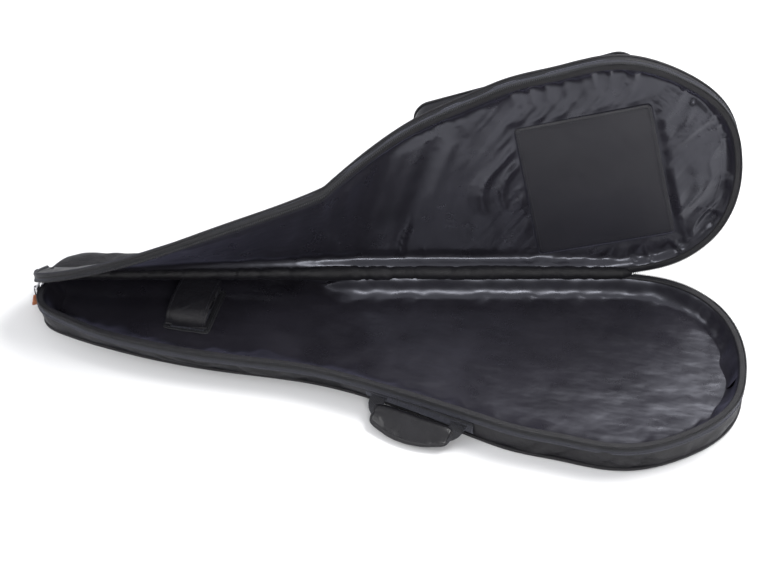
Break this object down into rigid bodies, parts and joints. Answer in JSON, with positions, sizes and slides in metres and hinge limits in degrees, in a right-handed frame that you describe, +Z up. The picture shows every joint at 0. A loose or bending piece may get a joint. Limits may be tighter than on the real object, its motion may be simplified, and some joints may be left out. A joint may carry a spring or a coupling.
{
  "type": "padded gig bag",
  "caption": "Long padded soft bag for an electric guitar, lying open, with a hinged lid, neck rest and strap, outer pocket, carry handle and back straps.",
  "frame": {"origin": "on the resting plane, on the centre line at the middle of the length", "axes": "+X towards the body end, +Y towards the hinge side, +Z up"},
  "size_m": [1.0517, 0.4673, 0.4073],
  "materials": {
    "cover_nylon": "matte",
    "lining_taffeta": "satin",
    "padding_foam": "matte",
    "edge_binding": "satin",
    "zipper_tape": "matte",
    "zipper_coil": "satin",
    "slider_metal": "polished",
    "pull_cord": "matte",
    "pull_tab": "matte",
    "handle_leatherette": "satin",
    "webbing": "matte",
    "buckle_plastic": "satin",
    "smooth_patch": "satin",
    "neck_rest_fabric": "matte",
    "strap_fabric": "matte",
    "hook_and_loop": "matte"
  },
  "bodies": {
    "tray": {"back_panel_cover": "cover_nylon", "back_panel_foam": "padding_foam", "back_panel_lining": "lining_taffeta", "side_wall_cover": "cover_nylon", "side_wall_foam": "padding_foam", "side_wall_lining": "lining_taffeta", "bottom_seam_piping": "edge_binding", "tray_rim_binding": "edge_binding", "tray_zipper_tape": "zipper_tape", "tray_zipper_coil": "zipper_coil", "side_fold_cover": "cover_nylon", "side_fold_foam": "padding_foam", "side_fold_lining": "lining_taffeta", "hinge_strip": "lining_taffeta", "neck_rest_base": "neck_rest_fabric", "neck_rest_pad": "neck_rest_fabric", "neck_strap_hook_patch": "hook_and_loop", "handle_patch": "webbing", "shoulder_strap_yoke": "webbing", "shoulder_pad_left": "cover_nylon", "shoulder_pad_right": "cover_nylon", "strap_webbing_left": "webbing", "strap_webbing_right": "webbing", "lower_strap_tabs": "webbing"},
    "lid": {"front_panel_cover": "cover_nylon", "front_panel_foam": "padding_foam", "front_panel_lining": "lining_taffeta", "lid_wall_cover": "cover_nylon", "lid_wall_foam": "padding_foam", "lid_wall_lining": "lining_taffeta", "lid_rim_binding": "edge_binding", "lid_seam_piping": "edge_binding", "lid_zipper_tape": "zipper_tape", "lid_zipper_coil": "zipper_coil", "bridge_patch": "smooth_patch", "pocket_front_panel": "cover_nylon", "pocket_side_wall": "cover_nylon", "pocket_piping": "edge_binding", "pocket_zipper_tape": "zipper_tape", "pocket_zipper_coil": "zipper_coil"},
    "head_fold": {"head_fold_cover": "cover_nylon", "head_fold_foam": "padding_foam", "head_fold_lining": "lining_taffeta"},
    "neck_fold": {"neck_fold_cover": "cover_nylon", "neck_fold_foam": "padding_foam", "neck_fold_lining": "lining_taffeta"},
    "waist_fold": {"waist_fold_cover": "cover_nylon", "waist_fold_foam": "padding_foam", "waist_fold_lining": "lining_taffeta"},
    "main_slider": {"main_zipper_slider": "slider_metal"},
    "main_pull": {"main_pull_cord": "pull_cord", "main_pull_tab": "pull_tab"},
    "pocket_slider": {"pocket_slider": "slider_metal"},
    "pocket_pull": {"pocket_pull": "slider_metal"},
    "carry_handle": {"handle_webbing": "webbing", "handle_wrap": "handle_leatherette"},
    "neck_strap": {"neck_strap": "strap_fabric"},
    "adjuster_left": {"adjuster_left": "buckle_plastic"},
    "adjuster_right": {"adjuster_right": "buckle_plastic"}
  },
  "joints": [
    {"name": "lid_hinge", "type": "hinge", "parent": "tray", "child": "lid", "pos_m": [0, 0.1178, 0.045], "axis": [-0.9777, -0.21, 0], "range_deg": [-93, 60]},
    {"name": "head_fold_hinge", "type": "hinge", "parent": "tray", "child": "head_fold", "pos_m": [0, 0.1178, 0.045], "axis": [-0.9777, -0.21, 0], "range_deg": [-28.4, 18.5]},
    {"name": "neck_fold_hinge", "type": "hinge", "parent": "tray", "child": "neck_fold", "pos_m": [0, 0.1178, 0.045], "axis": [-0.9777, -0.21, 0], "range_deg": [-49.79, 32.3]},
    {"name": "waist_fold_hinge", "type": "hinge", "parent": "tray", "child": "waist_fold", "pos_m": [0, 0.1178, 0.045], "axis": [-0.9777, -0.21, 0], "range_deg": [-71.18, 46.1]},
    {"name": "main_slider_slide", "type": "slide", "parent": "tray", "child": "main_slider", "axis": [0.038, -0.9993, 0], "range_m": [0, 0.02]},
    {"name": "main_pull_hinge", "type": "hinge", "parent": "main_slider", "child": "main_pull", "pos_m": [-0.53492, -0.03129, 0.045], "axis": [-0.038, 0.9993, 0], "range_deg": [0, 100]},
    {"name": "pocket_slider_slide", "type": "slide", "parent": "lid", "child": "pocket_slider", "axis": [0.9295, 0.2156, 0.2991], "range_m": [0, 0.25]},
    {"name": "pocket_pull_hinge", "type": "hinge", "parent": "pocket_slider", "child": "pocket_pull", "pos_m": [0.03862, 0.20671, 0.28216], "axis": [-0.3033, -0.0141, 0.9528], "range_deg": [0, 150]},
    {"name": "carry_handle_hinge", "type": "hinge", "parent": "tray", "child": "carry_handle", "pos_m": [0.07204, -0.14497, 0.024], "axis": [-0.9696, 0.2445, 0], "range_deg": [0, 95]},
    {"name": "neck_strap_hinge", "type": "hinge", "parent": "tray", "child": "neck_strap", "pos_m": [-0.296, -0.04475, 0.02], "axis": [1, 0, 0], "range_deg": [0, 85]},
    {"name": "adjuster_left_slide", "type": "slide", "parent": "tray", "child": "adjuster_left", "axis": [0.9903, 0.1392, 0], "range_m": [0, 0.1]},
    {"name": "adjuster_right_slide", "type": "slide", "parent": "tray", "child": "adjuster_right", "axis": [0.9903, -0.1392, 0], "range_m": [0, 0.1]}
  ],
  "couplings": [
    {"joint": "head_fold_hinge", "follows": "lid_hinge", "ratio": 0.3},
    {"joint": "neck_fold_hinge", "follows": "lid_hinge", "ratio": 0.53},
    {"joint": "waist_fold_hinge", "follows": "lid_hinge", "ratio": 0.76}
  ]
}
